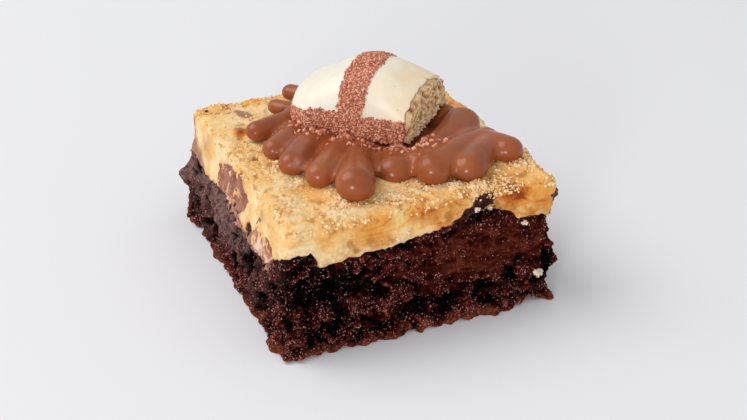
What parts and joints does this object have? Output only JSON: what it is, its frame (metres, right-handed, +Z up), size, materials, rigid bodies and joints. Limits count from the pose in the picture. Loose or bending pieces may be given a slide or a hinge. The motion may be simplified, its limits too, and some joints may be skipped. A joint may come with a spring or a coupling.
{
  "type": "brookie",
  "caption": "Square-cut traybake slice: a pale cookie layer baked on dark brownie, topped with melted milk chocolate and half a domed wafer biscuit.",
  "frame": {"origin": "under the middle of the slice, at the height of the surface it stands on", "axes": "+Z up; -Y out of the darker cut side with the thick smooth brownie; -X out of the cut side that shows the two cut chocolate chunks"},
  "size_m": [0.0764, 0.0855, 0.0536],
  "materials": {
    "brownie_crumb": "moist torn brownie crumb, nearly black with reddish brown edges",
    "cookie_crumb": "golden baked cookie dough, dry on top and paler where it is cut",
    "milk_chocolate": "set melted milk chocolate, satin to glossy",
    "chunk_chocolate": "cut milk chocolate chunk, dull",
    "white_coat": "smooth white chocolate coat with reddish cocoa crumb on its rim and band",
    "biscuit_cream": "wrinkled pale nut cream",
    "wafer_plate": "thin baked wafer, rough where it is broken"
  },
  "bodies": {
    "root": {"brownie": "brownie_crumb", "cookie_layer": "cookie_crumb", "chocolate_drizzle": "milk_chocolate", "chocolate_chunk_large": "chunk_chocolate", "chocolate_chunk_small": "chunk_chocolate", "chocolate_chunk_corner": "chunk_chocolate", "wafer_coating": "white_coat", "wafer_cream": "biscuit_cream", "wafer_plate": "wafer_plate"}
  },
  "joints": []
}
